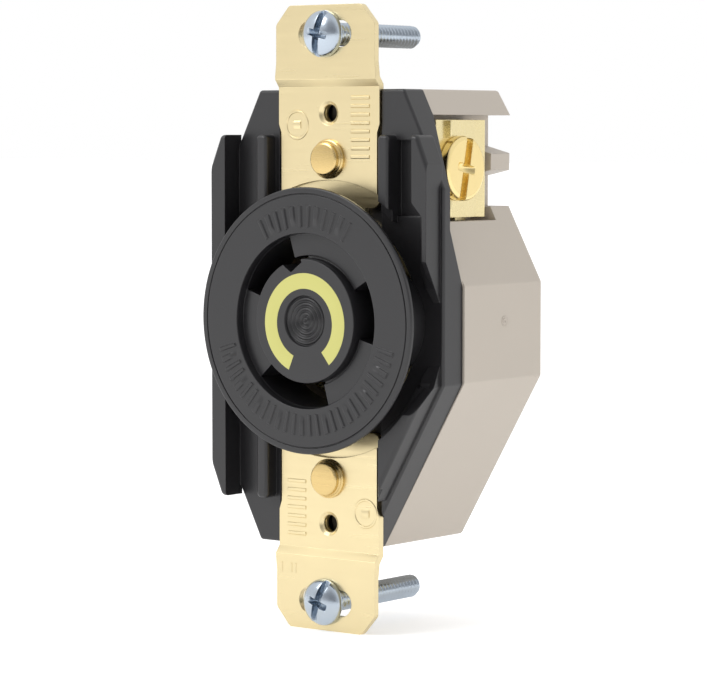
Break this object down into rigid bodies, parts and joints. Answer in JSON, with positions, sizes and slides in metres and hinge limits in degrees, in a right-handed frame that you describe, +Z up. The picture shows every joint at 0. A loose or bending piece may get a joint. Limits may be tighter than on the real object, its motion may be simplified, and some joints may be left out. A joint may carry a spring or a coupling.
{
  "type": "locking receptacle",
  "caption": "Flush single locking receptacle on a brass mounting strap, with a round slotted face, moulded body and clamp terminals.",
  "frame": {"origin": "midway between the two mounting screws, on the back face of the strap's ears", "axes": "+Z up along the strap, -Y out of the face, +X to the right seen from the front"},
  "size_m": [0.042, 0.0304, 0.0918],
  "materials": {
    "strap_brass": "brushed brass plate",
    "black_nylon": "satin moulded nylon",
    "yellow_insert": "satin moulded nylon",
    "beige_nylon": "satin moulded nylon",
    "contact_brass": "rolled brass strip",
    "brass_hardware": "machined brass",
    "nickel_hardware": "nickel plate",
    "green_hardware": "green dyed steel",
    "zinc_steel": "clear zinc plate",
    "rivet_brass": "cold headed brass"
  },
  "bodies": {
    "root": {"mounting_strap": "strap_brass", "face": "black_nylon", "rating_insert": "yellow_insert", "front_cover": "black_nylon", "rear_housing": "beige_nylon", "ground_link": "contact_brass", "hot_contact": "contact_brass", "hot_terminal_plate": "contact_brass", "neutral_contact": "contact_brass", "neutral_terminal_plate": "contact_brass", "ground_contact": "contact_brass", "ground_terminal_plate": "contact_brass", "upper_rivet": "rivet_brass", "lower_rivet": "rivet_brass"},
    "hot_clamp": {"hot_clamp_plate": "contact_brass"},
    "hot_screw": {"hot_terminal_screw": "brass_hardware"},
    "neutral_clamp": {"neutral_clamp_plate": "contact_brass"},
    "neutral_screw": {"neutral_terminal_screw": "nickel_hardware"},
    "ground_clamp": {"ground_clamp_plate": "contact_brass"},
    "ground_screw": {"ground_terminal_screw": "green_hardware"},
    "upper_screw": {"upper_mounting_screw": "zinc_steel"},
    "lower_screw": {"lower_mounting_screw": "zinc_steel"}
  },
  "joints": [
    {"name": "hot_clamp_slide", "type": "slide", "parent": "root", "child": "hot_clamp", "axis": [1, 0, 0], "range_m": [0, 0.00317]},
    {"name": "hot_screw_turn", "type": "hinge", "parent": "hot_clamp", "child": "hot_screw", "pos_m": [0.0143, 0.0123, 0.0221], "axis": [1, 0, 0], "range_deg": [0, 1440]},
    {"name": "neutral_clamp_slide", "type": "slide", "parent": "root", "child": "neutral_clamp", "axis": [-1, 0, 0], "range_m": [0, 0.00317]},
    {"name": "neutral_screw_turn", "type": "hinge", "parent": "neutral_clamp", "child": "neutral_screw", "pos_m": [-0.0143, 0.0123, -0.0221], "axis": [-1, 0, 0], "range_deg": [0, 1440]},
    {"name": "ground_clamp_slide", "type": "slide", "parent": "root", "child": "ground_clamp", "axis": [-1, 0, 0], "range_m": [0, 0.00317]},
    {"name": "ground_screw_turn", "type": "hinge", "parent": "ground_clamp", "child": "ground_screw", "pos_m": [-0.0143, 0.0123, 0.0221], "axis": [-1, 0, 0], "range_deg": [0, 1440]},
    {"name": "upper_screw_turn", "type": "hinge", "parent": "root", "child": "upper_screw", "pos_m": [0, 0, 0.04167], "axis": [0, -1, 0], "continuous": true},
    {"name": "lower_screw_turn", "type": "hinge", "parent": "root", "child": "lower_screw", "pos_m": [0, 0, -0.04167], "axis": [0, -1, 0], "continuous": true}
  ],
  "couplings": [
    {"joint": "hot_screw_turn", "follows": "hot_clamp_slide", "rad_per_m": 7913.3},
    {"joint": "neutral_screw_turn", "follows": "neutral_clamp_slide", "rad_per_m": 7913.3},
    {"joint": "ground_screw_turn", "follows": "ground_clamp_slide", "rad_per_m": 7913.3}
  ]
}
